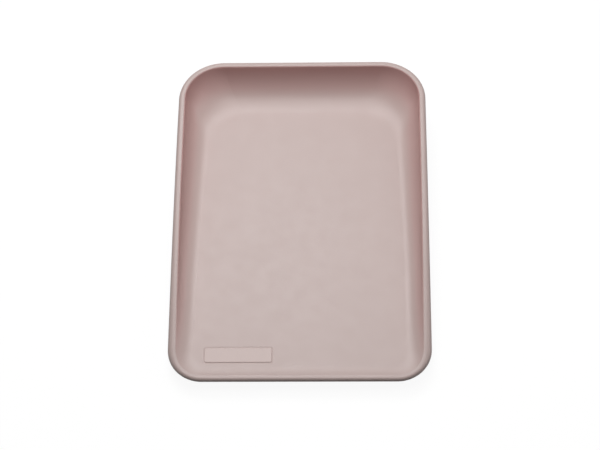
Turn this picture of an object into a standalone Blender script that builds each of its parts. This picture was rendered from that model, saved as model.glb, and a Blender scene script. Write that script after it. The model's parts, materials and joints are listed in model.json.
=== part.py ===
"""Changing mat: a moulded foam tray with a high head end, sides that fall in a curve, and a flush leg end.

A tough skin wraps the foam core from the bed over the rim and under the base, where a second skin laps
inside its hem. Six rubber pads are anchored in cups of the base skin. Sizes are in metres, +Z is up, +Y
points to the head end, and the origin lies on the surface that the mat stands on, under its middle.
"""

import math
from collections import namedtuple

import bmesh
import bpy
from mathutils import Matrix, Vector

# Overall sizes
LENGTH = 0.700
WIDTH = 0.500
HEIGHT = 0.100  # rim at the head end above the surface that the mat stands on
BED_HEIGHT = 0.034
LEG_LIP = 0.003  # rim above the bed at the leg end

# Outline
HEAD_CORNER = 0.0905
LEG_CORNER = 0.0655

# Rim and outer wall
HEAD_RIM_ROUND = 0.0065  # outer edge of the rim at the head end
LEG_RIM_ROUND = 0.0060  # at the leg end
SOFT_RIM_ROUND = 0.0120  # along the sides by the legs
RIM_FLAT = 0.0035
RIM_INNER_ROUND = 0.0037  # inner edge, where the rim turns down into the sweep
BASE_INSET = 0.014  # how far the wall leans in from the rim to the base
BASE_ROUND = 0.010

# Sweep from the rim down to the bed, as the distance that it covers in plan
HEAD_SWEEP = 0.078
SIDE_SWEEP = 0.060  # at the sides by the head
LOW_SIDE_SWEEP = 0.036  # at the sides by the legs
LEG_SWEEP = 0.030
HEAD_BED_CORNER = 0.070  # corner radii of the flat bed
LEG_BED_CORNER = 0.030
STEEPEST_TURN = math.radians(86)  # the sweep is never steeper than this, so that the mould opens
SWEEP_FULLNESS = 2.25  # power of the sweep's curve, which is 2 for an ellipse
SLOPE_PASSES = 12  # passes that settle the slope at which the sweep meets the rim's inner round

# Skins and the lap that joins them
SKIN = 0.002
FIT_GAP = 0.0003
HEM_WIDTH = 0.014  # flat hem of the top skin, under the base
LAP_WIDTH = 0.008  # ledge of the base skin over that hem

# Rubber pads
PAD_RADIUS = 0.017
PAD_THICKNESS = 0.0045
PAD_PROUD = 0.0015  # what the pads lift the base by
PAD_CHAMFER = 0.0008
GROOVE_RADII = (0.0075, 0.0120)
GROOVE_WIDTH = 0.0016
GROOVE_DEPTH = 0.0009
NECK_RADIUS = 0.005
ANCHOR_RADIUS = 0.009
ANCHOR_THICKNESS = 0.003
PAD_FROM_SIDE = 0.075
PAD_FROM_END = 0.085

# Facets
CORNER_STEPS = 10
SIDE_STEPS = 7
END_STEPS = 2
BASE_ROUND_STEPS = 3
UNDER_RIM_STEPS = 2
RIM_ROUND_STEPS = 4
INNER_ROUND_STEPS = 2
SWEEP_STEPS = 7
TURNED_STEPS = 20
SHARP_ANGLE = math.radians(40)
CUT_OVERRUN = 0.002  # how far a cutter runs past the face that it opens
MERGE_DISTANCE = 0.000001

# Sizes that follow from those above
CORE_DEPTH = SKIN + FIT_GAP
BASE_HEIGHT = PAD_PROUD
HEM_TOP = BASE_HEIGHT + CORE_DEPTH
LEDGE_TOP = HEM_TOP + SKIN
HEM_EDGE = BASE_INSET + BASE_ROUND + HEM_WIDTH
PANEL_EDGE = HEM_EDGE + FIT_GAP
LEDGE_EDGE = PANEL_EDGE - LAP_WIDTH
CUP_FLOOR = PAD_THICKNESS + FIT_GAP
CUP_TOP = CUP_FLOOR + SKIN
RECESS_RADIUS = PAD_RADIUS + FIT_GAP
CUP_RADIUS = RECESS_RADIUS + SKIN
ANCHOR_BASE = CUP_TOP + FIT_GAP
ANCHOR_TOP = ANCHOR_BASE + ANCHOR_THICKNESS

QUARTER_TURN = math.pi / 2
HALF_TURN = math.pi

SKIN_COLOUR = (0.60, 0.47, 0.45, 1.0)
FOAM_COLOUR = (0.80, 0.72, 0.62, 1.0)
RUBBER_COLOUR = (0.30, 0.27, 0.26, 1.0)
SKIN_ROUGHNESS = 0.55
FOAM_ROUGHNESS = 0.95
RUBBER_ROUGHNESS = 0.80

# A place on the outline, the unit direction from it to the inside of the mat, and the bed's edge that it faces
Station = namedtuple("Station", "x y inward_x inward_y bed_x bed_y")


def clear_scene():
    """Removes whatever the scene holds."""
    for old in list(bpy.data.objects):
        bpy.data.objects.remove(old)


def share(index, steps):
    return index / steps


def mix(first, last, amount):
    return first + (last - first) * amount


def towards_head(y):
    """How far along the mat a place lies, from 0 at the leg end to 1 at the head end."""
    return y / LENGTH + 1 / 2


def rim_round_at(y, sideness):
    """Radius of the rim's outer edge, which is soft along the sides by the legs and crisp at both ends."""
    plain = mix(LEG_RIM_ROUND, HEAD_RIM_ROUND, towards_head(y))
    return mix(plain, SOFT_RIM_ROUND, sideness * (1 - towards_head(y)) ** 3)


def sideness(station):
    """From 1 along the sides to 0 at the ends, falling early in each corner."""
    return station.inward_x**4


def bed_half_width(y):
    """From the middle of the mat to the bed's edge, inside the rim and the sweep of a side."""
    sweep = mix(LOW_SIDE_SWEEP, SIDE_SWEEP, towards_head(y) ** 2)
    return WIDTH / 2 - rim_round_at(y, 1) - RIM_FLAT - sweep


def corner_stations(side, end, start):
    """Stations round one corner of the outline, anticlockwise from the angle start."""
    if end > 0:
        corner, bed_corner = HEAD_CORNER, HEAD_BED_CORNER
        inset = HEAD_RIM_ROUND + RIM_FLAT + HEAD_SWEEP
    else:
        corner, bed_corner = LEG_CORNER, LEG_BED_CORNER
        inset = LEG_RIM_ROUND + RIM_FLAT + LEG_SWEEP
    centre_x = side * (WIDTH / 2 - corner)
    centre_y = end * (LENGTH / 2 - corner)
    bed_centre_y = end * (LENGTH / 2 - inset - bed_corner)
    stations = []
    for index in range(CORNER_STEPS + 1):
        angle = start + QUARTER_TURN * share(index, CORNER_STEPS)
        out_x = math.cos(angle)
        out_y = math.sin(angle)
        bed_y = bed_centre_y + bed_corner * out_y
        bed_x = side * (bed_half_width(bed_y) - bed_corner) + bed_corner * out_x
        x = centre_x + corner * out_x
        y = centre_y + corner * out_y
        stations.append(Station(x, y, -out_x, -out_y, bed_x, bed_y))
    return stations


def side_stations(first, last):
    """Stations between two others along a side, which are left out."""
    stations = []
    for index in range(1, SIDE_STEPS):
        amount = share(index, SIDE_STEPS)
        y = mix(first.y, last.y, amount)
        bed_y = mix(first.bed_y, last.bed_y, amount)
        bed_x = math.copysign(bed_half_width(bed_y), first.x)
        stations.append(Station(first.x, y, first.inward_x, first.inward_y, bed_x, bed_y))
    return stations


def end_stations(first, last):
    """Stations between two others along the head or the leg end, which are left out."""
    stations = []
    for index in range(1, END_STEPS):
        amount = share(index, END_STEPS)
        x = mix(first.x, last.x, amount)
        bed_x = mix(first.bed_x, last.bed_x, amount)
        stations.append(Station(x, first.y, first.inward_x, first.inward_y, bed_x, first.bed_y))
    return stations


def outline_stations():
    """The whole outline of the rim, anticlockwise seen from above."""
    right_leg = corner_stations(1, -1, -QUARTER_TURN)
    right_head = corner_stations(1, 1, 0)
    left_head = corner_stations(-1, 1, QUARTER_TURN)
    left_leg = corner_stations(-1, -1, HALF_TURN)
    stations = right_leg + side_stations(right_leg[-1], right_head[0])
    stations += right_head + end_stations(right_head[-1], left_head[0])
    stations += left_head + side_stations(left_head[-1], left_leg[0])
    stations += left_leg + end_stations(left_leg[-1], right_leg[0])
    return stations


def rim_height(station):
    """The rim falls from the head end to the leg end along a quarter of a sine wave."""
    leg_height = BED_HEIGHT + LEG_LIP
    return mix(leg_height, HEIGHT, math.sin(QUARTER_TURN * towards_head(station.y)))


def inner_edge(station):
    """Where the rim ends and the sweep begins, in plan."""
    inset = rim_round_at(station.y, sideness(station)) + RIM_FLAT
    return Vector((station.x + station.inward_x * inset, station.y + station.inward_y * inset))


def round_edge(centre, radius, first_angle, last_angle, steps):
    """Points and normals of an arc in the plane of a station, its angles counted up from straight out."""
    found = []
    for index in range(steps + 1):
        angle = mix(first_angle, last_angle, share(index, steps))
        normal = Vector((-math.cos(angle), math.sin(angle)))
        found.append((centre + radius * normal, normal))
    return found


def wall_profile(rim, rim_round):
    """The outside from the base to the flat of the rim: one line that touches both of its rounds."""
    rim_centre = Vector((rim_round, rim - rim_round))
    base_centre = Vector((BASE_INSET + BASE_ROUND, BASE_HEIGHT + BASE_ROUND))
    between = base_centre - rim_centre
    lean = math.atan2(between.x, -between.y) + math.asin((rim_round - BASE_ROUND) / between.length)
    base_round = round_edge(base_centre, BASE_ROUND, -QUARTER_TURN, -lean, BASE_ROUND_STEPS)
    under_rim = round_edge(rim_centre, rim_round, -lean, 0, UNDER_RIM_STEPS)
    over_rim = round_edge(rim_centre, rim_round, 0, QUARTER_TURN, RIM_ROUND_STEPS)
    return base_round + under_rim + over_rim[1:]


def sweep_profile(rim, width):
    """The inside from the rim to the bed, its insets counted from the rim's inner edge.

    A small round over that edge meets a wide hollow one, part of a superellipse, that flattens gently into
    the bed.
    """
    power = SWEEP_FULLNESS
    drop = rim - BED_HEIGHT
    taken = math.sin(min(2 * math.atan2(drop, width), STEEPEST_TURN))
    left = (1 - taken**power) ** (1 / power)
    steepness = taken**power * left ** (1 - power) / (1 - left)
    slope = math.atan2(drop, width)
    for _ in range(SLOPE_PASSES):
        span = width - RIM_INNER_ROUND * math.sin(slope)
        fall = drop - RIM_INNER_ROUND * (1 - math.cos(slope))
        slope = math.atan2(fall * steepness, span)
    centre = Vector((0, rim - RIM_INNER_ROUND))
    found = round_edge(centre, RIM_INNER_ROUND, QUARTER_TURN, QUARTER_TURN + slope, INNER_ROUND_STEPS)
    for index in range(1, SWEEP_STEPS + 1):
        angle = math.asin(taken ** (power / 2)) * (1 - share(index, SWEEP_STEPS))
        out = math.sin(angle) ** (2 / power)
        up = 1 - math.cos(angle) ** (2 / power)
        place = Vector((width - span * out / taken, BED_HEIGHT + fall * up / (1 - left)))
        rise = fall / (1 - left) * math.tan(angle) ** (2 - 2 / power)
        normal = Vector((rise, span / taken)).normalized()
        found.append((place, normal))
    return found


def inset_point(station, inset, height):
    """A point straight in from the outline."""
    return (station.x + station.inward_x * inset, station.y + station.inward_y * inset, height)


def level_ring(stations, inset, height):
    return [inset_point(station, inset, height) for station in stations]


def moulded_line(station, depth):
    """Points up the wall, over the rim and down the sweep at one station, moved into the foam by depth."""
    rim = rim_height(station)
    edge = inner_edge(station)
    across = Vector((station.bed_x, station.bed_y)) - edge
    width = across.dot((station.inward_x, station.inward_y))
    line = []
    rim_round = rim_round_at(station.y, sideness(station))
    for place, normal in wall_profile(rim, rim_round):
        moved = place - depth * normal
        line.append(inset_point(station, moved.x, moved.y))
    for place, normal in sweep_profile(rim, width):
        moved = place - depth * normal
        line.append((*(edge + across * moved.x / width), moved.y))
    return line


def moulded_rings(stations, depth):
    """Rings from the base to the bed of the moulded surface, moved into the foam by depth."""
    return list(zip(*[moulded_line(station, depth) for station in stations]))


def finished_object(name, form, material):
    """Turns a bmesh into a smooth-shaded object of that name."""
    bmesh.ops.recalc_face_normals(form, faces=form.faces)
    mesh = bpy.data.meshes.new(name)
    form.to_mesh(mesh)
    form.free()
    mesh.shade_smooth()
    mesh.set_sharp_from_angle(angle=SHARP_ANGLE)
    mesh.materials.append(material)
    made = bpy.data.objects.new(name, mesh)
    bpy.context.scene.collection.objects.link(made)
    return made


def loft(rings):
    """A closed form through rings of points, capped at its first and last."""
    form = bmesh.new()
    loops = [[form.verts.new(place) for place in ring] for ring in rings]
    for lower, upper in zip(loops, loops[1:]):
        for index in range(len(lower)):
            form.faces.new((lower[index - 1], lower[index], upper[index], upper[index - 1]))
    form.faces.new(loops[0])
    form.faces.new(loops[-1])
    return form


def turned(profile):
    """A closed form turned about the Z axis from (radius, height) pairs that start and end on the axis."""
    form = bmesh.new()
    line = [form.verts.new((radius, 0, height)) for radius, height in profile]
    edges = [form.edges.new(pair) for pair in zip(line, line[1:])]
    bmesh.ops.spin(
        form,
        geom=line + edges,
        cent=(0, 0, 0),
        axis=(0, 0, 1),
        angle=2 * HALF_TURN,
        steps=TURNED_STEPS,
        use_duplicate=False,
    )
    bmesh.ops.remove_doubles(form, verts=form.verts, dist=MERGE_DISTANCE)
    return form


def pad_places():
    """Names and plan places of the six pads."""
    places = []
    for row, end in (("leg", -1), ("middle", 0), ("head", 1)):
        for column, side in (("left", -1), ("right", 1)):
            x = side * (WIDTH / 2 - PAD_FROM_SIDE)
            y = end * (LENGTH / 2 - PAD_FROM_END)
            places.append((f"rubber_pad_{row}_{column}", x, y))
    return places


def helper_at_pads(name, profile):
    """A hidden tool for Booleans: one turned form under each pad's place."""
    form = bmesh.new()
    post = turned(profile)
    mesh = bpy.data.meshes.new(name)
    post.to_mesh(mesh)
    post.free()
    for _, x, y in pad_places():
        before = len(form.verts)
        form.from_mesh(mesh)
        form.verts.ensure_lookup_table()
        bmesh.ops.translate(form, verts=form.verts[before:], vec=(x, y, 0))
    bmesh.ops.recalc_face_normals(form, faces=form.faces)
    form.to_mesh(mesh)
    form.free()
    helper = bpy.data.objects.new(name, mesh)
    bpy.context.scene.collection.objects.link(helper)
    helper.hide_render = True
    helper.display_type = "WIRE"
    return helper


def apply_boolean(target, helper, operation):
    modifier = target.modifiers.new(helper.name, "BOOLEAN")
    modifier.operation = operation
    modifier.solver = "EXACT"
    modifier.object = helper


def plain_material(name, colour, roughness):
    material = bpy.data.materials.new(name)
    material.use_nodes = True
    shader = material.node_tree.nodes["Principled BSDF"]
    shader.inputs["Base Color"].default_value = colour
    shader.inputs["Roughness"].default_value = roughness
    shader.inputs["Metallic"].default_value = 0
    return material


def make_top_skin(stations, material):
    """The wipe-clean skin: bed, sweeps, rim, outer walls and the hem under the base, of one thickness."""
    outside = [level_ring(stations, HEM_EDGE, BASE_HEIGHT)] + moulded_rings(stations, 0)
    inside = [level_ring(stations, HEM_EDGE, BASE_HEIGHT + SKIN)] + moulded_rings(stations, SKIN)
    return finished_object("top_skin", loft(outside[::-1] + inside), material)


def make_foam_core(stations, material):
    """The soft foam inside the skins, stepped for the lap and with a pocket round each pad's cup."""
    step_inset = LEDGE_EDGE - FIT_GAP
    underside = [
        level_ring(stations, step_inset, LEDGE_TOP + FIT_GAP),
        level_ring(stations, step_inset, HEM_TOP),
    ]
    core = finished_object("foam_core", loft(underside + moulded_rings(stations, CORE_DEPTH)), material)
    pocket = (
        (0, BASE_HEIGHT - CUT_OVERRUN),
        (CUP_RADIUS + FIT_GAP, BASE_HEIGHT - CUT_OVERRUN),
        (CUP_RADIUS + FIT_GAP, CUP_TOP + FIT_GAP),
        (ANCHOR_RADIUS + FIT_GAP, CUP_TOP + FIT_GAP),
        (ANCHOR_RADIUS + FIT_GAP, ANCHOR_TOP + FIT_GAP),
        (0, ANCHOR_TOP + FIT_GAP),
    )
    apply_boolean(core, helper_at_pads("pad_pockets", pocket), "DIFFERENCE")
    return core


def make_base_skin(stations, material):
    """The underside skin, with a ledge that laps over the hem and a cup round each pad."""
    panel = [
        level_ring(stations, PANEL_EDGE, BASE_HEIGHT),
        level_ring(stations, PANEL_EDGE, HEM_TOP),
        level_ring(stations, LEDGE_EDGE, HEM_TOP),
        level_ring(stations, LEDGE_EDGE, LEDGE_TOP),
    ]
    base = finished_object("base_skin", loft(panel), material)
    cup = (
        (0, BASE_HEIGHT + SKIN / 2),
        (CUP_RADIUS, BASE_HEIGHT + SKIN / 2),
        (CUP_RADIUS, CUP_TOP),
        (0, CUP_TOP),
    )
    recess = (
        (0, BASE_HEIGHT - CUT_OVERRUN),
        (RECESS_RADIUS, BASE_HEIGHT - CUT_OVERRUN),
        (RECESS_RADIUS, CUP_FLOOR),
        (NECK_RADIUS + FIT_GAP, CUP_FLOOR),
        (NECK_RADIUS + FIT_GAP, CUP_TOP + CUT_OVERRUN),
        (0, CUP_TOP + CUT_OVERRUN),
    )
    apply_boolean(base, helper_at_pads("pad_cups", cup), "UNION")
    apply_boolean(base, helper_at_pads("pad_recesses", recess), "DIFFERENCE")
    return base


def pad_profile():
    """A grooved tread, a neck through the cup's floor and an anchor that the foam grips."""
    tread = [(0, 0)]
    for radius in GROOVE_RADII:
        tread += [
            (radius - GROOVE_WIDTH / 2, 0),
            (radius, GROOVE_DEPTH),
            (radius + GROOVE_WIDTH / 2, 0),
        ]
    return tread + [
        (PAD_RADIUS - PAD_CHAMFER, 0),
        (PAD_RADIUS, PAD_CHAMFER),
        (PAD_RADIUS, PAD_THICKNESS),
        (NECK_RADIUS, PAD_THICKNESS),
        (NECK_RADIUS, ANCHOR_BASE),
        (ANCHOR_RADIUS, ANCHOR_BASE),
        (ANCHOR_RADIUS - PAD_CHAMFER, ANCHOR_TOP),
        (0, ANCHOR_TOP),
    ]


def make_rubber_pads(material):
    first = None
    for name, x, y in pad_places():
        if first is None:
            first = finished_object(name, turned(pad_profile()), material)
            pad = first
        else:
            pad = bpy.data.objects.new(name, first.data)
            bpy.context.scene.collection.objects.link(pad)
        pad.matrix_world = Matrix.Translation((x, y, 0))


def main():
    clear_scene()
    stations = outline_stations()
    skin = plain_material("moulded_skin", SKIN_COLOUR, SKIN_ROUGHNESS)
    foam = plain_material("soft_foam", FOAM_COLOUR, FOAM_ROUGHNESS)
    rubber = plain_material("grip_rubber", RUBBER_COLOUR, RUBBER_ROUGHNESS)
    make_top_skin(stations, skin)
    make_foam_core(stations, foam)
    make_base_skin(stations, skin)
    make_rubber_pads(rubber)


main()
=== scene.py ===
"""Changing mat: the finished look of a moulded foam mat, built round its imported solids.

The skins, the foam and the rubber pads are made again here with fine surfaces and procedural materials, in
the places and sizes that the frame gives, and a bare plate is laid in the bed. A studio with a pale floor,
soft lamps and a camera goes round them.
"""

import json
import math
from collections import namedtuple

import bmesh
import bpy
from bpy.props import FloatProperty, FloatVectorProperty, IntProperty, PointerProperty
from bpy.types import Operator, Panel, PropertyGroup
from mathutils import Matrix, Vector


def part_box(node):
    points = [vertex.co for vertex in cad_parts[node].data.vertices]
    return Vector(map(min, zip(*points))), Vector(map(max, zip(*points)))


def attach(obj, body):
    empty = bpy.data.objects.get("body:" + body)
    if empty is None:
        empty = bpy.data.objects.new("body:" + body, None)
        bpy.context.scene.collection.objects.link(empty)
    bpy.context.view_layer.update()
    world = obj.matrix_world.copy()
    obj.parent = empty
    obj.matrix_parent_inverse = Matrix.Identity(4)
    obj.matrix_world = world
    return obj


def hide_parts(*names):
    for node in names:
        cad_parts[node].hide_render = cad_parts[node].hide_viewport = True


bl_info = {
    "name": "Moulded Changing Mat",
    "version": (1, 0, 0),
    "blender": (4, 5, 0),
    "location": "3D View > Sidebar > Changing Mat",
    "description": "Builds a moulded foam changing mat with its skins, foam, rubber pads and studio",
    "category": "Object",
}

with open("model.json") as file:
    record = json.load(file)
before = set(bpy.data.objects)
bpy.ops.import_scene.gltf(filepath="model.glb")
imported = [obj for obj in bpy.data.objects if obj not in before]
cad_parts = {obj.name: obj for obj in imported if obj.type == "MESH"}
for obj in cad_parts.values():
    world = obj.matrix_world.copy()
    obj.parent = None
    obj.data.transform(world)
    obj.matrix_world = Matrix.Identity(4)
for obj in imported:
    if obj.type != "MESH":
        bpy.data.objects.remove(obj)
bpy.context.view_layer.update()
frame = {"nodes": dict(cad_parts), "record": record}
BODY = "root"

# Sizes that the frame gives
SKIN_LOW, SKIN_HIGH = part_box("top_skin")
PANEL_LOW, PANEL_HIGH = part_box("base_skin")
PAD_LOW, PAD_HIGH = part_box("rubber_pad_leg_left")
BED_MOUNT = next(mount for mount in frame["record"]["mounts"] if mount["name"] == "bed")
PAD_NODES = sorted(name for name in frame["nodes"] if name.startswith("rubber_pad"))

QUARTER_TURN = math.pi / 2
HALF_TURN = math.pi
FULL_TURN = 2 * math.pi
MERGE_DISTANCE = 0.000001
CUT_OVERRUN = 0.002
FLOOR_REACH = 20
SHARP_EDGE = math.radians(40)
SLOPE_PASSES = 12
WHITE = (1, 1, 1, 1)

# The sides and ends of the mat
RIGHT, LEFT = 1, -1
HEAD, LEG = 1, -1

# The corners in order round the mat, anticlockwise seen from above: side, end and the angle where each starts
CORNERS = ((RIGHT, LEG, -QUARTER_TURN), (RIGHT, HEAD, 0), (LEFT, HEAD, QUARTER_TURN), (LEFT, LEG, HALF_TURN))

# Powers of three changes: of the rim's edge in a corner, of that edge along the mat and of the sweep along it
CORNER_POWER = 4
RIM_POWER = 3
SWEEP_POWER = 2

# Where painted shade deepens and reddens the skin, standing in for the darker, colour-bled walls of the
# hollow: how far up it faces, how high it lies and how far it faces the mat's middle
STEEP_RANGE = (1.0, 0.65)
HIGH_RANGE = (0.045, 0.090)
LOW_WALL_SHARE = 0.40
INSIDE_REACH = -0.02

# The part of a noise's values that is stretched over a whole range
NOISE_LOW = 0.3
NOISE_HIGH = 0.7

# A finish that varies by a noise: lumps to a metre, finer layers, lowest and highest value, and contrast
Pattern = namedtuple("Pattern", "scale layers low high contrast", defaults=(0.5,))
SKIN_SHADE = Pattern(7, 3, 0.988, 1.0)
SKIN_ROUGHNESS = Pattern(40, 2, 0.38, 0.42)
PLATE_SHADE = Pattern(40, 2, 0.99, 1.01)
FOAM_SHADE = Pattern(900, 4, 0.8, 1.08, 0.7)
RUBBER_SHADE = Pattern(260, 4, 0.88, 1.14)
RUBBER_ROUGHNESS = Pattern(500, 2, 0.68, 0.86)
PLATE_ROUGHNESS = 0.40
FOAM_ROUGHNESS = 0.95
FLOOR_ROUGHNESS = 1

# A relief by a noise: lumps to a metre, finer layers, depth in metres, strength and contrast
Relief = namedtuple("Relief", "scale layers depth strength contrast", defaults=(0.5,))
SKIN_PORES = Relief(1500, 2, 0.00006, 0.6)
SKIN_WAVES = Relief(60, 2, 0.00004, 0.5)
PLATE_WAVES = Relief(300, 2, 0.00002, 0.3)
FOAM_CELLS = Relief(900, 4, 0.0006, 0.9, 0.7)
RUBBER_GRAIN = Relief(3000, 2, 0.00004, 0.6)

# A place on the outline, the direction inward from it, and the place on the bed's edge that it faces
Station = namedtuple("Station", "x y inward_x inward_y bed_x bed_y")

# A square soft lamp: degrees right of the head end, degrees above the floor, metres across and watts
Lamp = namedtuple("Lamp", "name turn elevation size watts")
LAMPS = (
    Lamp("back_lamp", 0, 60, 1.2, 24.5),
    Lamp("top_lamp", 0, 90, 1.4, 26.5),
    Lamp("back_left_lamp", -25, 60, 1.2, 21),
    Lamp("right_lamp", 90, 35, 1.4, 11.8),
    Lamp("left_lamp", -90, 35, 1.4, 6),
)


def length_property(name, description, default):
    return FloatProperty(
        name=name, description=description, default=default, min=0, unit="LENGTH", precision=4
    )


def angle_property(name, description, degrees):
    return FloatProperty(name=name, description=description, default=math.radians(degrees), subtype="ANGLE")


def colour_property(name, description, default):
    return FloatVectorProperty(
        name=name, description=description, default=default, size=3, min=0, max=1, subtype="COLOR"
    )


class MatShape(PropertyGroup):
    """The moulded form of the mat."""

    length: length_property("Length", "Over the rims at the head and leg ends", SKIN_HIGH.y - SKIN_LOW.y)
    width: length_property("Width", "Over the rims at the sides", SKIN_HIGH.x - SKIN_LOW.x)
    height: length_property("Height", "Top of the rim at the head end", SKIN_HIGH.z)
    base_height: length_property("Base height", "Clearance that the pads give the base", SKIN_LOW.z)
    bed_height: length_property("Bed height", "Top of the flat bed", BED_MOUNT["pos_m"][2])
    leg_lip: length_property("Leg lip", "Rise of the rim over the bed at the leg end", 0.003)
    head_corner: length_property("Head corner", "Radius of the outline's corners at the head", 0.0905)
    leg_corner: length_property("Leg corner", "Radius of the outline's corners at the legs", 0.0655)
    head_rim_round: length_property("Head rim round", "Radius of the rim's outer edge at the head", 0.0065)
    leg_rim_round: length_property("Leg rim round", "Its radius at the leg end", 0.0060)
    soft_rim_round: length_property("Soft rim round", "Its radius along the sides by the legs", 0.0120)
    rim_flat: length_property("Rim flat", "Flat width on top of the rim", 0.0035)
    rim_inner_round: length_property("Inner round", "Radius where the rim turns into the sweep", 0.0037)
    base_inset: length_property("Base inset", "How far the wall leans in down to the base", 0.014)
    base_round: length_property("Base round", "Radius between the wall and the base", 0.010)
    head_sweep: length_property("Head sweep", "Width of the hollow round at the head end", 0.078)
    side_sweep: length_property("Side sweep", "Its width at the sides by the head", 0.060)
    low_side_sweep: length_property("Low side sweep", "Its width at the sides by the legs", 0.036)
    leg_sweep: length_property("Leg sweep", "Its width at the leg end", 0.025)
    head_bed_corner: length_property("Head bed corner", "Radius of the bed's corners at the head", 0.070)
    leg_bed_corner: length_property("Leg bed corner", "Radius of the bed's corners at the legs", 0.026)
    steepest_turn: angle_property("Steepest turn", "How much of a quarter turn a high sweep takes", 86)
    sweep_fullness: FloatProperty(
        name="Sweep fullness",
        description="Power of the sweep's curve, which is 2 for an ellipse",
        default=2.25,
        min=2,
    )
    skin: length_property("Skin", "Thickness of the skins", 0.002)
    fit_gap: length_property("Fit gap", "Gap between pieces that touch", 0.0003)
    hem_width: length_property("Hem width", "Flat hem of the top skin under the base", 0.014)


class PlateShape(PropertyGroup):
    """The small bare plate in a corner of the bed, in a shallow seat with a groove left round it."""

    width: length_property("Width", "Along the leg end", 0.1273)
    depth: length_property("Depth", "Along the mat's length", 0.0308)
    centre_x: FloatProperty(name="Centre X", description="From the middle", default=-0.1162, unit="LENGTH")
    centre_y: FloatProperty(name="Centre Y", description="From the middle", default=-0.2957, unit="LENGTH")
    corner: length_property("Corner", "Radius of the plate's corners", 0.0035)
    rise: length_property("Rise", "Of its face over the bed", 0.0006)
    edge_round: length_property("Edge round", "Radius of the edge of its face", 0.0010)
    groove_width: length_property("Groove width", "From the plate to the bed", 0.0034)
    seat_depth: length_property("Seat depth", "From the bed down to its seat", 0.0005)


class PadShape(PropertyGroup):
    """The rubber pads that the mat stands on."""

    radius: length_property("Radius", "Radius of the tread", (PAD_HIGH.x - PAD_LOW.x) / 2)
    thickness: length_property("Thickness", "Thickness of the tread", 0.0045)
    edge_round: length_property("Edge round", "Radius of the tread's edge", 0.0008)
    inner_groove: length_property("Inner groove", "Radius of the inner groove", 0.0075)
    outer_groove: length_property("Outer groove", "Radius of the outer groove", 0.0120)
    groove_width: length_property("Groove width", "Width of each groove", 0.0016)
    groove_depth: length_property("Groove depth", "Depth of each groove", 0.0009)
    neck_radius: length_property("Neck radius", "Radius of the neck through the cup", 0.005)
    anchor_radius: length_property("Anchor radius", "Radius of the anchor in the foam", 0.009)
    anchor_top: length_property("Anchor top", "Top of the anchor in the foam", PAD_HIGH.z)
    anchor_thickness: length_property("Anchor thickness", "Thickness of the anchor", 0.003)


class MatColours(PropertyGroup):
    """Linear colours of the finishes, and of the painted shade inside the high walls."""

    skin: colour_property("Skin", "Dusty rose skin where it is level", (0.518, 0.401, 0.377))
    # Painted shade: a deeper, redder colour that stands in for the shade and colour bleed on the steep inside
    # of the high walls
    painted_wall_shade: colour_property("Steep skin", "Steep inside of the high walls", (0.633, 0.382, 0.364))
    plate: colour_property("Plate", "Bare plate in the bed", (0.561, 0.435, 0.409))
    foam: colour_property("Foam", "Soft foam inside the skins", (0.80, 0.72, 0.62))
    rubber: colour_property("Rubber", "Pads", (0.30, 0.27, 0.26))
    floor: colour_property("Floor", "Share of the lamps' light that the floor shows", (0.10, 0.10, 0.10))
    far_floor: colour_property("Far floor", "Floor as it lights the mat", (0.12, 0.12, 0.12))


class MatDetail(PropertyGroup):
    """How finely the surfaces are divided."""

    corner_steps: IntProperty(name="Corner", description="Divisions of each corner", default=28, min=4)
    side_steps: IntProperty(name="Side", description="Divisions of each side", default=36, min=2)
    end_steps: IntProperty(name="End", description="Divisions of each end", default=8, min=2)
    round_steps: IntProperty(name="Round", description="Divisions of each small round", default=8, min=2)
    sweep_steps: IntProperty(name="Sweep", description="Divisions of the hollow round", default=28, min=4)
    turned_steps: IntProperty(name="Turned", description="Divisions of turned pieces", default=96, min=12)


class StudioShape(PropertyGroup):
    """Camera and lamps."""

    distance: length_property("Distance", "From the camera to the mat's origin", 3.541)
    elevation: angle_property("Elevation", "Of the camera above the floor", 57.757)
    turn: angle_property("Turn", "Of the mat to the camera", 3.188)
    roll: angle_property("Roll", "Of the camera", -2.971)
    shift_across: FloatProperty(name="Across", description="Camera's slide to the right", default=-0.0035)
    shift_up: FloatProperty(name="Up", description="Camera's slide upwards", default=0.0135)
    lens: FloatProperty(name="Lens", description="Focal length in millimetres", default=106.53)
    lamp_distance: length_property("Lamp distance", "From the lamps to the mat's origin", 3.0)
    lamp_level: FloatProperty(name="Lamp level", description="Brightness of all the lamps", default=1, min=0)
    floor_glow: FloatProperty(
        name="Floor glow", description="Share of the floor's white", default=0.93, min=0, max=1
    )


def settings(context):
    return context.scene.changing_mat


class ChangingMat(PropertyGroup):
    """Everything that can be set on the changing mat."""

    shape: PointerProperty(type=MatShape)
    plate: PointerProperty(type=PlateShape)
    pads: PointerProperty(type=PadShape)
    colours: PointerProperty(type=MatColours)
    detail: PointerProperty(type=MatDetail)
    studio: PointerProperty(type=StudioShape)


def mix(first, last, amount):
    return first + (last - first) * amount


def towards_head(shape, y):
    """How far along the mat a place lies, from 0 at the leg end to 1 at the head end."""
    return y / shape.length + 1 / 2


def rim_round_at(shape, y, share):
    """Radius of the rim's outer edge, which is soft along the sides by the legs and crisp at both ends."""
    plain = mix(shape.leg_rim_round, shape.head_rim_round, towards_head(shape, y))
    return mix(plain, shape.soft_rim_round, share * (1 - towards_head(shape, y)) ** RIM_POWER)


def side_share(station):
    """From 1 along the sides to 0 at the ends, falling early in each corner."""
    return station.inward_x**CORNER_POWER


def bed_half_width(shape, y):
    """From the middle of the mat to the bed's edge at the sides."""
    sweep = mix(shape.low_side_sweep, shape.side_sweep, towards_head(shape, y) ** SWEEP_POWER)
    return shape.width / 2 - rim_round_at(shape, y, 1) - shape.rim_flat - sweep


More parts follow.
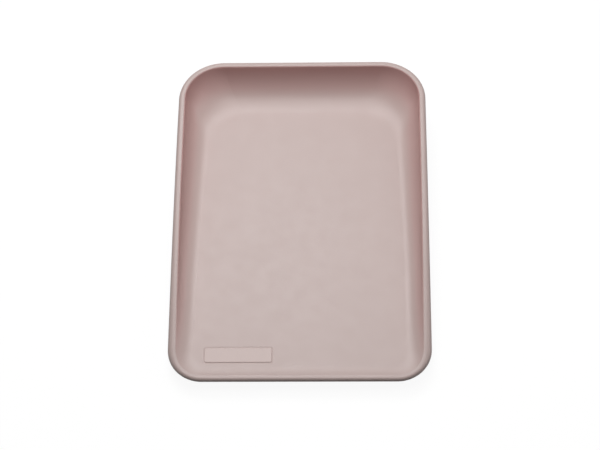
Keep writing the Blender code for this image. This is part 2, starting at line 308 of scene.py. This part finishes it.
def corner_stations(shape, detail, side, end, start):
    """Stations round one corner of the outline, anticlockwise from the angle start."""
    if end == HEAD:
        corner, bed_corner = shape.head_corner, shape.head_bed_corner
        inset = shape.head_rim_round + shape.rim_flat + shape.head_sweep
    else:
        corner, bed_corner = shape.leg_corner, shape.leg_bed_corner
        inset = shape.leg_rim_round + shape.rim_flat + shape.leg_sweep
    centre_x = side * (shape.width / 2 - corner)
    centre_y = end * (shape.length / 2 - corner)
    bed_centre_y = end * (shape.length / 2 - inset - bed_corner)
    stations = []
    for index in range(detail.corner_steps + 1):
        angle = start + QUARTER_TURN * index / detail.corner_steps
        out_x = math.cos(angle)
        out_y = math.sin(angle)
        bed_y = bed_centre_y + bed_corner * out_y
        bed_x = side * (bed_half_width(shape, bed_y) - bed_corner) + bed_corner * out_x
        x = centre_x + corner * out_x
        y = centre_y + corner * out_y
        stations.append(Station(x, y, -out_x, -out_y, bed_x, bed_y))
    return stations


def side_stations(shape, first, last, steps):
    """Stations between two others along a side, which are left out."""
    stations = []
    for index in range(1, steps):
        amount = index / steps
        y = mix(first.y, last.y, amount)
        bed_y = mix(first.bed_y, last.bed_y, amount)
        bed_x = math.copysign(bed_half_width(shape, bed_y), first.x)
        stations.append(Station(first.x, y, first.inward_x, first.inward_y, bed_x, bed_y))
    return stations


def end_stations(first, last, steps):
    """Stations between two others along the head or the leg end, which are left out."""
    stations = []
    for index in range(1, steps):
        amount = index / steps
        x = mix(first.x, last.x, amount)
        bed_x = mix(first.bed_x, last.bed_x, amount)
        stations.append(Station(x, first.y, first.inward_x, first.inward_y, bed_x, first.bed_y))
    return stations


def outline_stations(shape, detail):
    """The whole outline of the rim, anticlockwise seen from above."""
    right_leg, right_head, left_head, left_leg = [
        corner_stations(shape, detail, *corner) for corner in CORNERS
    ]
    stations = right_leg + side_stations(shape, right_leg[-1], right_head[0], detail.side_steps)
    stations += right_head + end_stations(right_head[-1], left_head[0], detail.end_steps)
    stations += left_head + side_stations(shape, left_head[-1], left_leg[0], detail.side_steps)
    stations += left_leg + end_stations(left_leg[-1], right_leg[0], detail.end_steps)
    return stations


def rim_height(shape, station):
    """The rim falls from the head end to the leg end along a quarter of a sine wave."""
    leg_height = shape.bed_height + shape.leg_lip
    return mix(leg_height, shape.height, math.sin(QUARTER_TURN * towards_head(shape, station.y)))


def inner_edge(shape, station):
    """Where the rim ends and the sweep begins, in plan."""
    inset = rim_round_at(shape, station.y, side_share(station)) + shape.rim_flat
    return Vector((station.x + station.inward_x * inset, station.y + station.inward_y * inset))


def sweep_width(shape, station):
    """Width of the sweep square to the rim."""
    across = Vector((station.bed_x, station.bed_y)) - inner_edge(shape, station)
    return across.dot((station.inward_x, station.inward_y))


def round_edge(centre, radius, first_angle, last_angle, steps):
    """Points and normals of an arc in the plane of a station, its angles counted up from straight out."""
    found = []
    for index in range(steps + 1):
        angle = mix(first_angle, last_angle, index / steps)
        normal = Vector((-math.cos(angle), math.sin(angle)))
        found.append((centre + radius * normal, normal))
    return found


def wall_profile(shape, detail, rim, rim_round):
    """The outside from the base to the flat of the rim: one line that touches both of its rounds."""
    rim_centre = Vector((rim_round, rim - rim_round))
    base_centre = Vector((shape.base_inset + shape.base_round, shape.base_height + shape.base_round))
    between = base_centre - rim_centre
    lean = math.atan2(between.x, -between.y)
    lean += math.asin((rim_round - shape.base_round) / between.length)
    base_round = round_edge(base_centre, shape.base_round, -QUARTER_TURN, -lean, detail.round_steps)
    under_rim = round_edge(rim_centre, rim_round, -lean, 0, detail.round_steps)
    over_rim = round_edge(rim_centre, rim_round, 0, QUARTER_TURN, detail.round_steps)
    return base_round + under_rim + over_rim[1:]


def sweep_profile(shape, detail, rim, width):
    """The inside from the rim to the bed, its insets counted from the rim's inner edge.

    A small round over that edge meets a wide hollow one, part of a superellipse, which flattens gently into
    the bed.
    """
    power = shape.sweep_fullness
    drop = rim - shape.bed_height
    taken = math.sin(min(2 * math.atan2(drop, width), shape.steepest_turn))
    rest = (1 - taken**power) ** (1 / power)
    steepness = taken**power * rest ** (1 - power) / (1 - rest)
    slope = math.atan2(drop, width)
    for _ in range(SLOPE_PASSES):
        span = width - shape.rim_inner_round * math.sin(slope)
        fall = drop - shape.rim_inner_round * (1 - math.cos(slope))
        slope = math.atan2(fall * steepness, span)
    centre = Vector((0, rim - shape.rim_inner_round))
    steepest = QUARTER_TURN + slope
    found = round_edge(centre, shape.rim_inner_round, QUARTER_TURN, steepest, detail.round_steps)
    first_angle = math.asin(taken ** (power / 2))
    for index in range(1, detail.sweep_steps + 1):
        angle = first_angle * (1 - index / detail.sweep_steps)
        out = math.sin(angle) ** (2 / power)
        up = 1 - math.cos(angle) ** (2 / power)
        place = Vector((width - span * out / taken, shape.bed_height + fall * up / (1 - rest)))
        rise = fall / (1 - rest) * math.tan(angle) ** (2 - 2 / power)
        normal = Vector((rise, span / taken)).normalized()
        found.append((place, normal))
    return found


def inset_point(station, inset, height):
    """A point straight in from the outline."""
    return (station.x + station.inward_x * inset, station.y + station.inward_y * inset, height)


def level_ring(stations, inset, height):
    return [inset_point(station, inset, height) for station in stations]


def moulded_line(shape, detail, station, depth):
    """Points up the wall, over the rim and down the sweep at one station, moved into the foam by depth."""
    rim = rim_height(shape, station)
    width = sweep_width(shape, station)
    edge = inner_edge(shape, station)
    across = Vector((station.bed_x, station.bed_y)) - edge
    rim_round = rim_round_at(shape, station.y, side_share(station))
    line = []
    for place, normal in wall_profile(shape, detail, rim, rim_round):
        moved = place - depth * normal
        line.append(inset_point(station, moved.x, moved.y))
    for place, normal in sweep_profile(shape, detail, rim, width):
        moved = place - depth * normal
        line.append((*(edge + across * moved.x / width), moved.y))
    return line


def moulded_rings(shape, detail, stations, depth):
    """Rings from the base to the bed of the moulded surface, moved into the foam by depth."""
    return list(zip(*[moulded_line(shape, detail, station, depth) for station in stations]))


def rounded_rectangle(centre_x, centre_y, width, depth, corner, steps, height):
    """A ring of points round a plate, anticlockwise seen from above."""
    ring = []
    for side, end, start in CORNERS:
        for index in range(steps + 1):
            angle = start + QUARTER_TURN * index / steps
            x = centre_x + side * (width / 2 - corner) + corner * math.cos(angle)
            y = centre_y + end * (depth / 2 - corner) + corner * math.sin(angle)
            ring.append((x, y, height))
    return ring


def new_loops(form, rings):
    return [[form.verts.new(place) for place in ring] for ring in rings]


def bridge(form, lower, upper):
    """Faces between two loops of as many points, which face out when upper lies inside lower."""
    for index in range(len(lower)):
        form.faces.new((lower[index - 1], lower[index], upper[index], upper[index - 1]))


def bridge_all(form, loops):
    for lower, upper in zip(loops, loops[1:]):
        bridge(form, lower, upper)


def closed_form(rings):
    """A form with faces from ring to ring, and a flat face over the first and the last."""
    form = bmesh.new()
    loops = new_loops(form, rings)
    bridge_all(form, loops)
    form.faces.new(loops[0])
    form.faces.new(loops[-1])
    return form


def fill_between(form, loops):
    """A flat face between an outline and the loops inside it, as triangles."""
    edges = []
    for loop in loops:
        for index in range(len(loop)):
            pair = (loop[index - 1], loop[index])
            edges.append(form.edges.get(pair) or form.edges.new(pair))
    bmesh.ops.triangle_fill(form, edges=edges, use_beauty=True)


def finished_piece(name, form, material):
    """Turns a bmesh into a smooth-shaded object in the scene."""
    bmesh.ops.recalc_face_normals(form, faces=form.faces)
    mesh = bpy.data.meshes.new(name)
    form.to_mesh(mesh)
    form.free()
    mesh.shade_smooth()
    mesh.set_sharp_from_angle(angle=SHARP_EDGE)
    mesh.materials.append(material)
    piece = bpy.data.objects.new(name, mesh)
    bpy.context.scene.collection.objects.link(piece)
    return piece


def keep_flats_flat(piece):
    """Lets large faces lead the shading, so that flat parts look flat up to their rounds."""
    even = piece.modifiers.new("even_normals", "WEIGHTED_NORMAL")
    even.keep_sharp = True


def turned(profile, steps):
    """A closed form turned about the Z axis from (radius, height) pairs that start and end on the axis."""
    form = bmesh.new()
    line = [form.verts.new((radius, 0, height)) for radius, height in profile]
    edges = [form.edges.new(pair) for pair in zip(line, line[1:])]
    bmesh.ops.spin(
        form,
        geom=line + edges,
        cent=(0, 0, 0),
        axis=(0, 0, 1),
        angle=FULL_TURN,
        steps=steps,
        use_duplicate=False,
    )
    bmesh.ops.remove_doubles(form, verts=form.verts, dist=MERGE_DISTANCE)
    return form


def pad_centres():
    """Plan places of the pads, by their nodes' names."""
    centres = {}
    for name in PAD_NODES:
        low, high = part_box(name)
        centres[name] = (low + high) / 2
    return centres


def with_flat_ends(form):
    """Joins each fan of triangles round the axis into one flat face."""
    hubs = [corner for corner in form.verts if corner.co.xy.length < MERGE_DISTANCE]
    bmesh.ops.dissolve_verts(form, verts=hubs)
    return form


def apply_at_pads(target, profile, steps, operation):
    """A Boolean with one turned form under each pad's place, made part of the target's mesh."""
    form = bmesh.new()
    post = with_flat_ends(turned(profile, steps))
    mesh = bpy.data.meshes.new("pad_tool")
    post.to_mesh(mesh)
    post.free()
    for centre in pad_centres().values():
        before = len(form.verts)
        form.from_mesh(mesh)
        form.verts.ensure_lookup_table()
        bmesh.ops.translate(form, verts=form.verts[before:], vec=(centre.x, centre.y, 0))
    bmesh.ops.recalc_face_normals(form, faces=form.faces)
    form.to_mesh(mesh)
    form.free()
    helper = bpy.data.objects.new("pad_tool", mesh)
    bpy.context.scene.collection.objects.link(helper)
    modifier = target.modifiers.new("cut", "BOOLEAN")
    modifier.operation = operation
    modifier.solver = "EXACT"
    modifier.object = helper
    evaluated = target.evaluated_get(bpy.context.evaluated_depsgraph_get())
    result = bpy.data.meshes.new_from_object(evaluated)
    target.modifiers.clear()
    target.data = result
    bpy.data.objects.remove(helper)
    bpy.data.meshes.remove(mesh)


def feed(tree, socket, value):
    """Links an input to another node's output or sets its value, where None leaves it as it is."""
    if isinstance(value, bpy.types.NodeSocket):
        tree.links.new(value, socket)
    elif value is not None:
        socket.default_value = value


def feed_all(tree, node, values):
    """Links or sets inputs of a node by their names."""
    for name, value in values.items():
        feed(tree, node.inputs[name], value)


def new_node(tree, kind, *values):
    """A node with its first inputs linked or set in order."""
    node = tree.nodes.new(kind)
    for socket, value in zip(node.inputs, values):
        feed(tree, socket, value)
    return node


def worked_out(tree, operation, first, second):
    """A number worked out from two others."""
    node = new_node(tree, "ShaderNodeMath", first, second)
    node.operation = operation
    return node.outputs["Value"]


def mixed(tree, blend, factor, first, second):
    """A colour mixed from two others."""
    node = tree.nodes.new("ShaderNodeMix")
    node.data_type = "RGBA"
    node.blend_type = blend
    feed_all(tree, node, {"Factor": factor, "A": first, "B": second})
    return node.outputs["Result"]


def coordinates(tree):
    """The one node of texture coordinates in a material."""
    return tree.nodes.get("Texture Coordinate") or tree.nodes.new("ShaderNodeTexCoord")


def noise(tree, grain):
    """The noise of a pattern or a relief, in the object's own metres."""
    place = coordinates(tree).outputs["Object"]
    texture = new_node(tree, "ShaderNodeTexNoise", place, None, grain.scale, grain.layers, grain.contrast)
    return texture.outputs["Fac"]


def spread(tree, grain, low, high):
    """A noise, whose middle is one half, stretched over low to high."""
    values = (noise(tree, grain), NOISE_LOW, NOISE_HIGH, low, high)
    return new_node(tree, "ShaderNodeMapRange", *values).outputs["Result"]


def varied(tree, pattern):
    """A number that varies over a pattern's values."""
    return spread(tree, pattern, pattern.low, pattern.high)


def tinted(tree, colour, pattern):
    """The colour between a shade and a tint of itself."""
    shade = (*[part * pattern.low for part in colour], 1)
    tint = (*[min(part * pattern.high, 1) for part in colour], 1)
    return mixed(tree, "MIX", spread(tree, pattern, 0, 1), shade, tint)


def shaded(tree, colour, pattern):
    """A linked colour made darker and lighter."""
    amount = varied(tree, pattern)
    grey = new_node(tree, "ShaderNodeCombineColor", amount, amount, amount)
    return mixed(tree, "MULTIPLY", 1, colour, grey.outputs["Color"])


def bump(tree, relief, under=None):
    """A relief of a real depth, over another one."""
    node = tree.nodes.new("ShaderNodeBump")
    height = noise(tree, relief)
    values = {"Strength": relief.strength, "Distance": relief.depth, "Height": height, "Normal": under}
    feed_all(tree, node, values)
    return node.outputs["Normal"]


def painted_shade_share(tree):
    """Share of painted shade: from 0 on level skin and outside the mat to 1 on the steep inside of the high
    walls.
    """
    normal, spot = coordinates(tree).outputs["Normal"], coordinates(tree).outputs["Object"]
    upward = new_node(tree, "ShaderNodeSeparateXYZ", normal).outputs["Z"]
    height = new_node(tree, "ShaderNodeSeparateXYZ", spot).outputs["Z"]
    in_plan = new_node(tree, "ShaderNodeVectorMath", spot, (1, 1, 0))
    in_plan.operation = "MULTIPLY"
    outward = new_node(tree, "ShaderNodeVectorMath", normal, in_plan.outputs["Vector"])
    outward.operation = "DOT_PRODUCT"
    steep = new_node(tree, "ShaderNodeMapRange", upward, *STEEP_RANGE, 0, 1)
    steep.interpolation_type = "SMOOTHSTEP"
    high = new_node(tree, "ShaderNodeMapRange", height, *HIGH_RANGE, LOW_WALL_SHARE, 1)
    inside = new_node(tree, "ShaderNodeMapRange", outward.outputs["Value"], 0, INSIDE_REACH, 0, 1)
    both = worked_out(tree, "MULTIPLY", steep.outputs["Result"], high.outputs["Result"])
    return worked_out(tree, "MULTIPLY", both, inside.outputs["Result"])


def new_material(name, colour):
    """A Principled material of one colour, with its nodes and shader."""
    material = bpy.data.materials.new(name)
    material.use_nodes = True
    tree = material.node_tree
    shader = tree.nodes["Principled BSDF"]
    shader.inputs["Base Color"].default_value = (*colour, 1)
    return material, tree, shader


def skin_material(colours):
    """Integral skin of polyurethane: satin, finely pored, with painted shade, a deeper and redder tint,
    inside the high walls.
    """
    material, tree, shader = new_material("moulded_skin", colours.skin)
    # Painted shade: the skin's colour turns deeper and redder on the steep inside of the high walls, most
    # near the top
    skin_with_painted_shade = mixed(tree, "MIX", painted_shade_share(tree), (*colours.skin, 1), (*colours.painted_wall_shade, 1))
    looks = {
        "Base Color": shaded(tree, skin_with_painted_shade, SKIN_SHADE),
        "Roughness": varied(tree, SKIN_ROUGHNESS),
        "Normal": bump(tree, SKIN_WAVES, bump(tree, SKIN_PORES)),
    }
    feed_all(tree, shader, looks)
    return material


def plate_material(colour):
    """The same skin pressed smooth: a little paler, with no pores."""
    material, tree, shader = new_material("plate_skin", colour)
    looks = {
        "Base Color": tinted(tree, colour, PLATE_SHADE),
        "Roughness": PLATE_ROUGHNESS,
        "Normal": bump(tree, PLATE_WAVES),
    }
    feed_all(tree, shader, looks)
    return material


def foam_material(colour):
    """Open-celled soft foam."""
    material, tree, shader = new_material("soft_foam", colour)
    looks = {
        "Base Color": tinted(tree, colour, FOAM_SHADE),
        "Roughness": FOAM_ROUGHNESS,
        "Normal": bump(tree, FOAM_CELLS),
    }
    feed_all(tree, shader, looks)
    return material


def rubber_material(colour):
    """Matt rubber with a faint bloom."""
    material, tree, shader = new_material("grip_rubber", colour)
    looks = {
        "Base Color": tinted(tree, colour, RUBBER_SHADE),
        "Roughness": varied(tree, RUBBER_ROUGHNESS),
        "Normal": bump(tree, RUBBER_GRAIN),
    }
    feed_all(tree, shader, looks)
    return material


def plate_ring(plate, detail, outset, height):
    """A ring round the plate, further out than its sides by outset."""
    return rounded_rectangle(
        plate.centre_x,
        plate.centre_y,
        plate.width + 2 * outset,
        plate.depth + 2 * outset,
        plate.corner + outset,
        detail.round_steps,
        height,
    )


def seat_rings(plate, detail, bed_height):
    """Rings from the bed down a soft slope to the plate's seat."""
    rings = []
    for index in range(detail.round_steps + 1):
        amount = index / detail.round_steps
        fallen = plate.seat_depth * (1 - math.cos(HALF_TURN * amount)) / 2
        rings.append(plate_ring(plate, detail, plate.groove_width * (1 - amount), bed_height - fallen))
    return rings


def plate_rings(plate, detail, bed_height):
    """Rings from the plate's seat up its side and round the edge of its face."""
    centre = Vector((plate.edge_round, bed_height + plate.rise - plate.edge_round))
    rings = [plate_ring(plate, detail, 0, bed_height - plate.seat_depth)]
    for place, _ in round_edge(centre, plate.edge_round, 0, QUARTER_TURN, detail.round_steps):
        rings.append(plate_ring(plate, detail, -place.x, place.y))
    return rings


def hem_edge(shape):
    """From the outline in to the edge of the top skin's hem."""
    return shape.base_inset + shape.base_round + shape.hem_width


def ledge_edge(shape):
    """From the outline in to the edge of the base skin's ledge over the hem."""
    return (shape.width - PANEL_HIGH.x + PANEL_LOW.x) / 2


class MAT_OT_top_skin(Operator):
    """Make the moulded top skin with its bed, sweeps, rim, walls and hem"""

    bl_idname = "changing_mat.top_skin"
    bl_label = "Top Skin"

    def execute(self, context):
        mat = settings(context)
        shape, plate, detail = mat.shape, mat.plate, mat.detail
        stations = outline_stations(shape, detail)
        inside_hem = level_ring(stations, hem_edge(shape), shape.base_height + shape.skin)
        outside_hem = level_ring(stations, hem_edge(shape), shape.base_height)
        form = bmesh.new()
        inside = new_loops(form, [inside_hem, *moulded_rings(shape, detail, stations, shape.skin)])
        outside = new_loops(form, [outside_hem, *moulded_rings(shape, detail, stations, 0)])
        bridge_all(form, inside)
        bridge_all(form, outside)
        bridge(form, inside[0], outside[0])
        form.faces.new(inside[-1])
        seat = new_loops(form, seat_rings(plate, detail, shape.bed_height))
        bridge_all(form, seat)
        form.faces.new(seat[-1])
        fill_between(form, (outside[-1], seat[0]))
        piece = finished_piece("moulded_top_skin", form, skin_material(mat.colours))
        keep_flats_flat(piece)
        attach(piece, BODY)
        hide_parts("top_skin")
        return {"FINISHED"}


class MAT_OT_plate(Operator):
    """Lay the bare plate in its seat in the bed"""

    bl_idname = "changing_mat.plate"
    bl_label = "Plate"

    def execute(self, context):
        mat = settings(context)
        form = closed_form(plate_rings(mat.plate, mat.detail, mat.shape.bed_height))
        piece = finished_piece("bare_plate", form, plate_material(mat.colours.plate))
        keep_flats_flat(piece)
        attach(piece, BODY)
        return {"FINISHED"}


class MAT_OT_foam(Operator):
    """Make the soft foam inside the skins, with a pocket round each pad's cup"""

    bl_idname = "changing_mat.foam"
    bl_label = "Foam"

    def execute(self, context):
        mat = settings(context)
        shape, pads, detail = mat.shape, mat.pads, mat.detail
        stations = outline_stations(shape, detail)
        depth = shape.skin + shape.fit_gap
        hem_top = shape.base_height + depth
        core_edge = ledge_edge(shape) - shape.fit_gap
        rings = [
            level_ring(stations, core_edge, hem_top + depth),
            level_ring(stations, core_edge, hem_top),
            *moulded_rings(shape, detail, stations, depth),
        ]
        piece = finished_piece("foam_body", closed_form(rings), foam_material(mat.colours.foam))
        cup_radius = pads.radius + shape.skin + 2 * shape.fit_gap
        cup_top = PANEL_HIGH.z + shape.fit_gap
        pocket = (
            (0, shape.base_height),
            (cup_radius, shape.base_height),
            (cup_radius, cup_top),
            (pads.anchor_radius + shape.fit_gap, cup_top),
            (pads.anchor_radius + shape.fit_gap, pads.anchor_top + shape.fit_gap),
            (0, pads.anchor_top + shape.fit_gap),
        )
        apply_at_pads(piece, pocket, detail.turned_steps, "DIFFERENCE")
        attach(piece, BODY)
        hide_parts("foam_core")
        return {"FINISHED"}


class MAT_OT_base_skin(Operator):
    """Make the underside skin, with a ledge over the hem and a cup round each pad"""

    bl_idname = "changing_mat.base_skin"
    bl_label = "Base Skin"

    def execute(self, context):
        mat = settings(context)
        shape, pads, detail = mat.shape, mat.pads, mat.detail
        stations = outline_stations(shape, detail)
        panel_edge = hem_edge(shape) + shape.fit_gap
        hem_top = shape.base_height + shape.skin + shape.fit_gap
        rings = [
            level_ring(stations, panel_edge, shape.base_height),
            level_ring(stations, panel_edge, hem_top),
            level_ring(stations, ledge_edge(shape), hem_top),
            level_ring(stations, ledge_edge(shape), hem_top + shape.skin),
        ]
        material = bpy.data.materials.get("moulded_skin") or skin_material(mat.colours)
        piece = finished_piece("moulded_base_skin", closed_form(rings), material)
        cup_floor = pads.thickness + shape.fit_gap
        recess = pads.radius + shape.fit_gap
        cup = (
            (0, shape.base_height + shape.skin / 2),
            (recess + shape.skin, shape.base_height + shape.skin / 2),
            (recess + shape.skin, PANEL_HIGH.z),
            (0, PANEL_HIGH.z),
        )
        opening = (
            (0, shape.base_height - CUT_OVERRUN),
            (recess, shape.base_height - CUT_OVERRUN),
            (recess, cup_floor),
            (pads.neck_radius + shape.fit_gap, cup_floor),
            (pads.neck_radius + shape.fit_gap, PANEL_HIGH.z + CUT_OVERRUN),
            (0, PANEL_HIGH.z + CUT_OVERRUN),
        )
        apply_at_pads(piece, cup, detail.turned_steps, "UNION")
        apply_at_pads(piece, opening, detail.turned_steps, "DIFFERENCE")
        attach(piece, BODY)
        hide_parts("base_skin")
        return {"FINISHED"}


def tread_profile(pads, detail):
    """A grooved tread with a round edge, a neck and an anchor, as (radius, height) pairs."""
    profile = [(0, 0)]
    for radius in (pads.inner_groove, pads.outer_groove):
        for index in range(detail.round_steps + 1):
            amount = index / detail.round_steps
            depth = pads.groove_depth * (1 - math.cos(FULL_TURN * amount)) / 2
            profile.append((radius + pads.groove_width * (amount - 1 / 2), depth))
    for index in range(detail.round_steps + 1):
        angle = QUARTER_TURN * index / detail.round_steps
        profile.append(
            (
                pads.radius - pads.edge_round * (1 - math.sin(angle)),
                pads.edge_round * (1 - math.cos(angle)),
            )
        )
    anchor_base = pads.anchor_top - pads.anchor_thickness
    profile += [
        (pads.radius, pads.thickness),
        (pads.neck_radius, pads.thickness),
        (pads.neck_radius, anchor_base),
        (pads.anchor_radius, anchor_base),
        (pads.anchor_radius - pads.edge_round, pads.anchor_top),
        (0, pads.anchor_top),
    ]
    return profile


class MAT_OT_rubber_pads(Operator):
    """Make the rubber pads that the mat stands on"""

    bl_idname = "changing_mat.rubber_pads"
    bl_label = "Rubber Pads"

    def execute(self, context):
        mat = settings(context)
        material = rubber_material(mat.colours.rubber)
        for name, centre in pad_centres().items():
            form = turned(tread_profile(mat.pads, mat.detail), mat.detail.turned_steps)
            piece = finished_piece(name.replace("rubber_pad", "grip_pad"), form, material)
            piece.location = (centre.x, centre.y, 0)
            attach(piece, BODY)
            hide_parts(name)
        return {"FINISHED"}


def seen_directly(tree):
    """1 where a surface or the sky is seen by the camera, in a reflection or through glass, else 0."""
    path = tree.nodes.new("ShaderNodeLightPath")
    value = path.outputs["Is Camera Ray"]
    for name in ("Is Glossy Ray", "Is Transmission Ray"):
        value = worked_out(tree, "MAXIMUM", value, path.outputs[name])
    return value


def make_floor(colours, glow):
    """A wide floor that shows white with a faint shadow, and lights the mat as a duller one."""
    mesh = bpy.data.meshes.new("studio_floor")
    form = bmesh.new()
    bmesh.ops.create_grid(form, x_segments=1, y_segments=1, size=FLOOR_REACH)
    form.to_mesh(mesh)
    form.free()
    floor = bpy.data.objects.new("studio_floor", mesh)
    bpy.context.scene.collection.objects.link(floor)
    material, tree, shader = new_material("studio_floor", colours.floor)
    looks = {
        "Roughness": FLOOR_ROUGHNESS,
        "Specular IOR Level": 0,
        "Emission Color": WHITE,
        "Emission Strength": glow,
    }
    feed_all(tree, shader, looks)
    far = new_node(tree, "ShaderNodeBsdfDiffuse", (*colours.far_floor, 1))
    shaders = (far.outputs["BSDF"], shader.outputs["BSDF"])
    choice = new_node(tree, "ShaderNodeMixShader", seen_directly(tree), *shaders)
    tree.links.new(choice.outputs["Shader"], tree.nodes["Material Output"].inputs["Surface"])
    mesh.materials.append(material)


def make_sky():
    """White where it is seen, and dark where it would light the mat."""
    world = bpy.data.worlds.new("studio_sky")
    bpy.context.scene.world = world
    world.use_nodes = True
    tree = world.node_tree
    back = tree.nodes["Background"]
    back.inputs["Color"].default_value = WHITE
    tree.links.new(seen_directly(tree), back.inputs["Strength"])


def make_lamp(kind, distance, level):
    """A soft lamp that faces the mat's middle and that the camera doesn't see."""
    turn, elevation = math.radians(kind.turn), math.radians(kind.elevation)
    across = math.cos(elevation)
    out = Vector((math.sin(turn) * across, math.cos(turn) * across, math.sin(elevation)))
    data = bpy.data.lights.new(kind.name, "AREA")
    data.shape = "SQUARE"
    data.size = kind.size
    data.energy = kind.watts * level
    lamp = bpy.data.objects.new(kind.name, data)
    bpy.context.scene.collection.objects.link(lamp)
    lamp.location = distance * out
    lamp.rotation_mode = "QUATERNION"
    lamp.rotation_quaternion = (-out).to_track_quat("-Z", "Y")
    lamp.visible_camera = False


def make_camera(studio):
    """The camera at the photograph's viewing angle, rolled and slid in its own plane."""
    lift, turn, roll = studio.elevation, studio.turn, studio.roll
    ahead = Vector((-math.sin(turn) * math.cos(lift), math.cos(turn) * math.cos(lift), -math.sin(lift)))
    level = Vector((math.cos(turn), math.sin(turn), 0))
    upward = level.cross(ahead)
    right = level * math.cos(roll) + upward * math.sin(roll)
    up = upward * math.cos(roll) - level * math.sin(roll)
    place = right * studio.shift_across + up * studio.shift_up - ahead * studio.distance
    data = bpy.data.cameras.new("studio_camera")
    data.lens = studio.lens
    camera = bpy.data.objects.new("studio_camera", data)
    bpy.context.scene.collection.objects.link(camera)
    turned_to = Matrix((right, up, -ahead)).transposed().to_4x4()
    camera.matrix_world = Matrix.Translation(place) @ turned_to
    bpy.context.scene.camera = camera


class MAT_OT_studio(Operator):
    """Make the floor, the sky, the lamps and the camera"""

    bl_idname = "changing_mat.studio"
    bl_label = "Studio"

    def execute(self, context):
        context.scene.view_settings.view_transform = "Standard"
        studio = settings(context).studio
        make_floor(settings(context).colours, studio.floor_glow)
        make_sky()
        for kind in LAMPS:
            make_lamp(kind, studio.lamp_distance, studio.lamp_level)
        make_camera(studio)
        return {"FINISHED"}


class MAT_PT_panel(Panel):
    """Sizes and colours of the changing mat, and what makes its pieces."""

    bl_idname = "MAT_PT_panel"
    bl_label = "Changing Mat"
    bl_space_type = "VIEW_3D"
    bl_region_type = "UI"
    bl_category = "Changing Mat"

    def draw(self, context):
        for title in ("shape", "plate", "pads", "colours", "detail", "studio"):
            group = getattr(settings(context), title)
            column = self.layout.box().column(align=True)
            column.label(text=title.title())
            for name in group.__annotations__:
                column.prop(group, name)
        for operator in OPERATORS:
            self.layout.operator(operator.bl_idname)


GROUPS = (MatShape, PlateShape, PadShape, MatColours, MatDetail, StudioShape, ChangingMat)
OPERATORS = (MAT_OT_top_skin, MAT_OT_plate, MAT_OT_foam, MAT_OT_base_skin, MAT_OT_rubber_pads, MAT_OT_studio)


def register():
    for known in (*GROUPS, *OPERATORS, MAT_PT_panel):
        bpy.utils.register_class(known)
    bpy.types.Scene.changing_mat = PointerProperty(type=ChangingMat)


def unregister():
    del bpy.types.Scene.changing_mat
    for known in reversed((*GROUPS, *OPERATORS, MAT_PT_panel)):
        bpy.utils.unregister_class(known)


def main():
    register()
    bpy.ops.changing_mat.studio()
    bpy.ops.changing_mat.top_skin()
    bpy.ops.changing_mat.plate()
    bpy.ops.changing_mat.foam()
    bpy.ops.changing_mat.base_skin()
    bpy.ops.changing_mat.rubber_pads()


if __name__ == "__main__":
    main()
